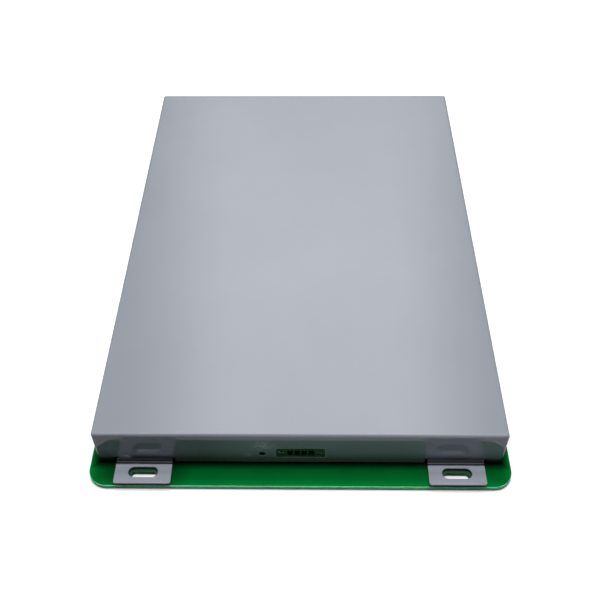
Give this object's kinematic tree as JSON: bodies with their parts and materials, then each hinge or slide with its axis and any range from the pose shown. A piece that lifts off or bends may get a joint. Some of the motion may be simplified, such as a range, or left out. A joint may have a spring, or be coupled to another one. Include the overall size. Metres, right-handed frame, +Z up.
{
  "type": "shielded rfid reader pad",
  "caption": "Flat shielded reader pad: a folded grey metal case with slotted tabs on a larger green antenna board, with a plug-in terminal in its front wall.",
  "frame": {"origin": "centre of the antenna board's underside", "axes": "+Z up from the antenna board to the closed top of the case, +Y along the pad away from the terminal, so the terminal faces -Y, and +X across the pad"},
  "size_m": [0.2286, 0.3482, 0.0292],
  "materials": {
    "case_paint": "semi-gloss light grey paint on sheet metal",
    "board_green": "green solder mask on glass-epoxy laminate",
    "loop_copper": "copper track under green solder mask",
    "zinc_steel": "zinc-plated steel",
    "reader_green": "green solder mask on glass-epoxy laminate",
    "terminal_green": "moulded green polyamide",
    "tinned": "tin-plated metal",
    "nickel": "nickel-plated brass",
    "led_lens": "tinted diffused epoxy",
    "black_plastic": "moulded black plastic",
    "chip_black": "fine-grained black moulding compound",
    "can_aluminium": "satin drawn aluminium",
    "ferrite": "matt ferrite",
    "trimmer_base": "matt ceramic",
    "capacitor_tan": "matt ceramic",
    "coax_jacket": "brown translucent coax jacket",
    "gold_plate": "gold-plated brass",
    "winding": "enamelled copper wire"
  },
  "bodies": {
    "root": {"shield_case": "case_paint", "case_pillars": "zinc_steel", "case_screws": "zinc_steel", "antenna_board": "board_green", "antenna_loop": "loop_copper", "reader_board": "reader_green", "reader_board_spacers": "zinc_steel", "reader_board_screws": "zinc_steel", "lock_washers": "zinc_steel", "spacer_screws": "zinc_steel", "terminal_header": "terminal_green", "terminal_pins": "tinned", "header_nuts": "nickel", "status_led": "led_lens", "led_holder": "black_plastic", "led_leads": "tinned", "controller_chip": "chip_black", "controller_leads": "tinned", "interface_chips": "chip_black", "interface_leads": "tinned", "rf_chip": "chip_black", "crystal_can": "tinned", "rf_shield_frame": "tinned", "rf_shield_lid": "tinned", "capacitor_bases": "black_plastic", "bulk_capacitors": "can_aluminium", "power_choke": "ferrite", "choke_terminals": "tinned", "voltage_regulator": "chip_black", "regulator_metal": "tinned", "input_fuse": "black_plastic", "service_header": "black_plastic", "service_pins": "gold_plate", "chip_passives": "capacitor_tan", "rf_socket_reader": "gold_plate", "rf_socket_antenna": "gold_plate", "feed_plugs": "gold_plate", "feed_cable": "coax_jacket", "trimmer_bodies": "trimmer_base", "tuning_capacitors": "capacitor_tan", "damping_resistors": "chip_black", "chip_ends": "tinned", "transformer_core": "ferrite", "transformer_winding": "winding"},
    "rotor_a": {"trimmer_rotor_a": "nickel"},
    "rotor_b": {"trimmer_rotor_b": "nickel"}
  },
  "joints": [
    {"name": "trimmer_a_turn", "type": "hinge", "parent": "root", "child": "rotor_a", "pos_m": [-0.017, -0.044, 0.0046], "axis": [0, 0, 1], "continuous": true},
    {"name": "trimmer_b_turn", "type": "hinge", "parent": "root", "child": "rotor_b", "pos_m": [0.017, -0.044, 0.0046], "axis": [0, 0, 1], "continuous": true}
  ]
}
